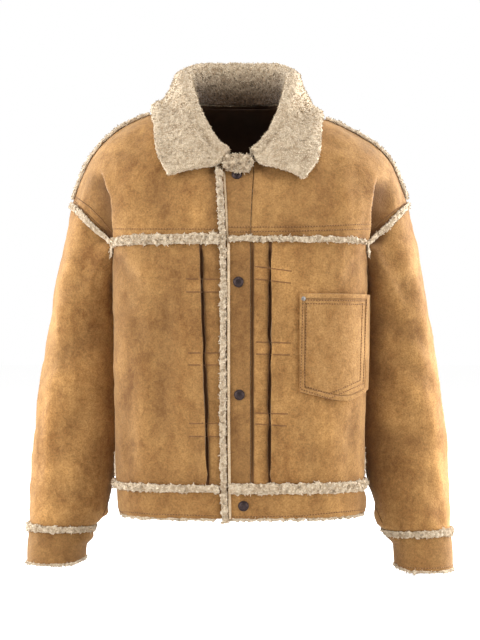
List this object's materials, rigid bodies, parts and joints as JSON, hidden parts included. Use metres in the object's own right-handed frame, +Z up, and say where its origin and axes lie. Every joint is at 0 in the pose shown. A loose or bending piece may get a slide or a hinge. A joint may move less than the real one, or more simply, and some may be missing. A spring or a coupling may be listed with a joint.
{
  "type": "shearling jacket",
  "caption": "Hip-length shearling jacket in tan suede with a wide cream wool collar, exposed wool along the seams, dark snaps down the front and a pointed chest pocket.",
  "frame": {"origin": "Midway between the two points where the shoulder seams meet the neck seam, where the wearer's shoulders carry the jacket", "axes": "+Z up along the wearer's back, +X to the wearer's left, -Y out of the front"},
  "size_m": [0.7288, 0.3117, 0.8801],
  "materials": {
    "suede": "caramel suede with a short uneven nap",
    "suede_dark": "the same suede, darker where it is pressed and handled",
    "collar_wool": "long cream wool in soft curls",
    "seam_wool": "short cream wool fluffed out of the seams",
    "neck_lining": "smooth dark brown facing",
    "snap_metal": "dark lacquered snap caps with a soft shine",
    "rivet_metal": "dull grey"
  },
  "bodies": {
    "root": {"armhole_trim_left": "seam_wool", "armhole_trim_right": "seam_wool", "back": "suede", "chest_pocket": "suede", "collar": "collar_wool", "cuff_hem_trim_left": "seam_wool", "cuff_hem_trim_right": "seam_wool", "cuff_left": "suede_dark", "cuff_right": "suede_dark", "cuff_trim_left": "seam_wool", "cuff_trim_right": "seam_wool", "front_left": "suede", "front_right": "suede", "hem_trim": "seam_wool", "neck_facing": "neck_lining", "placket_lower": "suede_dark", "placket_trim": "seam_wool", "placket_upper": "suede_dark", "pocket_rivet": "rivet_metal", "shoulder_trim_left": "seam_wool", "shoulder_trim_right": "seam_wool", "side_trim_left": "seam_wool", "side_trim_right": "seam_wool", "sleeve_left": "suede", "sleeve_right": "suede", "snap_chest": "snap_metal", "snap_middle": "snap_metal", "snap_neck": "snap_metal", "snap_waist": "snap_metal", "throat_wool": "collar_wool", "waist_trim": "seam_wool", "waistband": "suede_dark", "yoke_left": "suede", "yoke_right": "suede", "yoke_trim_left": "seam_wool", "yoke_trim_right": "seam_wool"}
  },
  "joints": []
}
